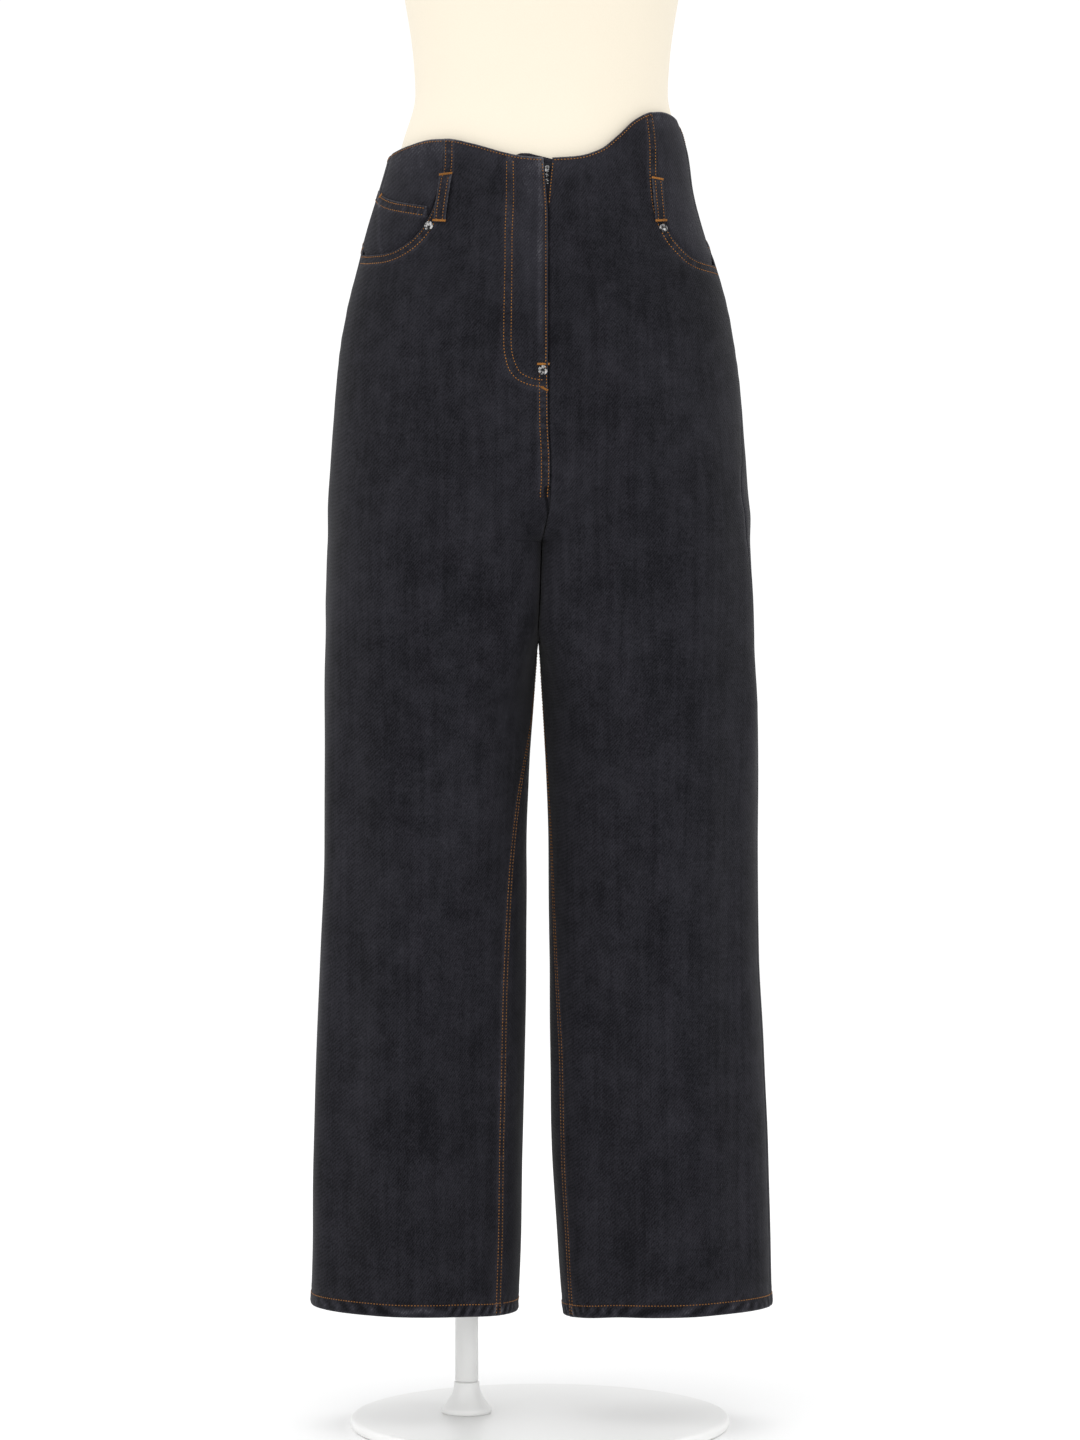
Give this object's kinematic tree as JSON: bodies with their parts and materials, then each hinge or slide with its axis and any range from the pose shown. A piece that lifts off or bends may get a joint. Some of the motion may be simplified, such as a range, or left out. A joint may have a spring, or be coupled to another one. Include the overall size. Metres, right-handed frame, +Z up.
{
  "type": "wide-leg jeans on a dress form",
  "caption": "High-waisted wide-leg denim jeans with an uneven curved waist edge, on a limbless dress form with a round stand.",
  "frame": {"origin": "centre of the underside of the stand's round base", "axes": "+Z up, -Y the front of the garment, +X the wearer's left"},
  "size_m": [0.4382, 0.36, 1.7423],
  "materials": {
    "denim": "washed black twill, matt",
    "silver_metal": "polished, slightly worn",
    "form_cover": "smooth cream jersey, matt",
    "stand_paint": "white, satin"
  },
  "bodies": {
    "dressed_form": {"front_right": "denim", "front_left": "denim", "hip_right": "denim", "hip_left": "denim", "back_right": "denim", "back_left": "denim", "back_yoke_right": "denim", "back_yoke_left": "denim", "back_pocket_right": "denim", "back_pocket_left": "denim", "coin_pocket": "denim", "fly_shield": "denim", "zip_tape": "denim", "belt_loop_front_right": "denim", "belt_loop_front_left": "denim", "belt_loop_back_right": "denim", "belt_loop_back_left": "denim", "belt_loop_back_middle": "denim", "zip_slider": "silver_metal", "rivet_pocket_right": "silver_metal", "rivet_pocket_left": "silver_metal", "rivet_fly": "silver_metal", "form_torso": "form_cover", "form_neck_cap": "stand_paint", "stand_flange": "stand_paint", "stand_pole": "stand_paint", "stand_collar": "stand_paint", "stand_base": "stand_paint"},
    "pull_tab": {"zip_pull": "silver_metal"}
  },
  "joints": [
    {"name": "pull_hinge", "type": "hinge", "parent": "dressed_form", "child": "pull_tab", "pos_m": [0.00665, -0.09485, 1.18509], "axis": [-1, 0, 0], "range_deg": [0, 150]}
  ]
}
